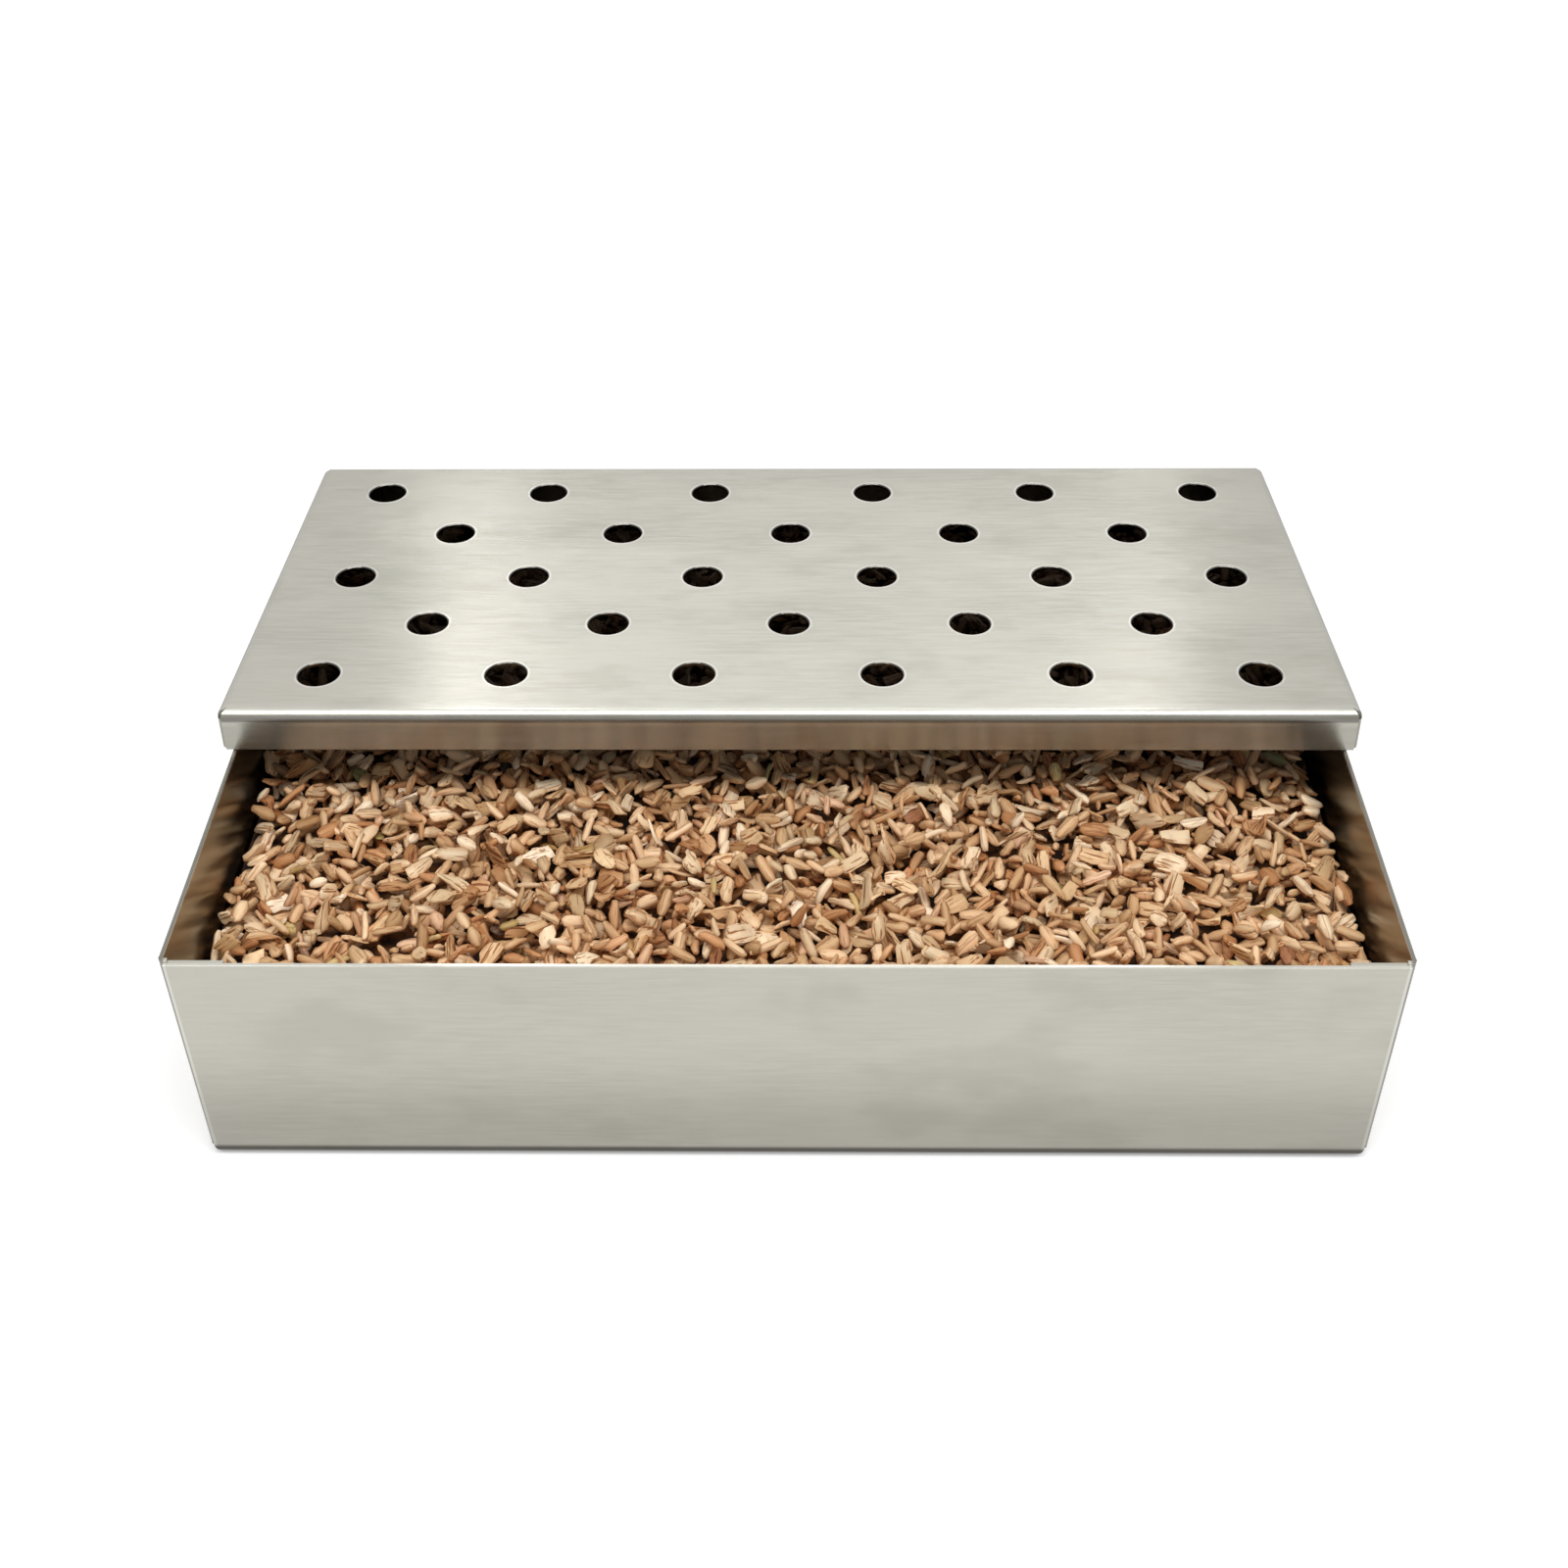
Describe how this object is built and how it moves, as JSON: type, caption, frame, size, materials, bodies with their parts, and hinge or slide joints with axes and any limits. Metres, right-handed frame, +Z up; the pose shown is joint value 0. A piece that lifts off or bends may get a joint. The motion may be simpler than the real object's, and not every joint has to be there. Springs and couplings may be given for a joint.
{
  "type": "wood-chip smoker box",
  "caption": "Open stainless-steel tray of wood chips with a loose perforated lid laid over its rear part, for making smoke on a grill or in a cabinet smoker.",
  "frame": {"origin": "middle of the tray's base, on the surface that it stands on", "axes": "+X to the right along the long front wall, +Y to the rear, +Z up"},
  "size_m": [0.2348, 0.1656, 0.0644],
  "materials": {
    "brushed_stainless": "brushed along the length",
    "packed_chips": "rough",
    "tan_chips": "matt",
    "pale_chips": "matt",
    "bark": "rough",
    "dry_leaf": "matt"
  },
  "bodies": {
    "tray": {"tray": "brushed_stainless", "chip_bed": "packed_chips", "leaf_bits": "dry_leaf", "bark_flakes": "bark", "wood_flakes": "pale_chips", "wood_slivers": "tan_chips", "wood_grains": "tan_chips"},
    "lid": {"lid": "brushed_stainless"}
  },
  "joints": [
    {"name": "lid_lift", "type": "slide", "parent": "tray", "child": "lid", "axis": [0, 0, 1], "range_m": [0, 0.08]}
  ]
}
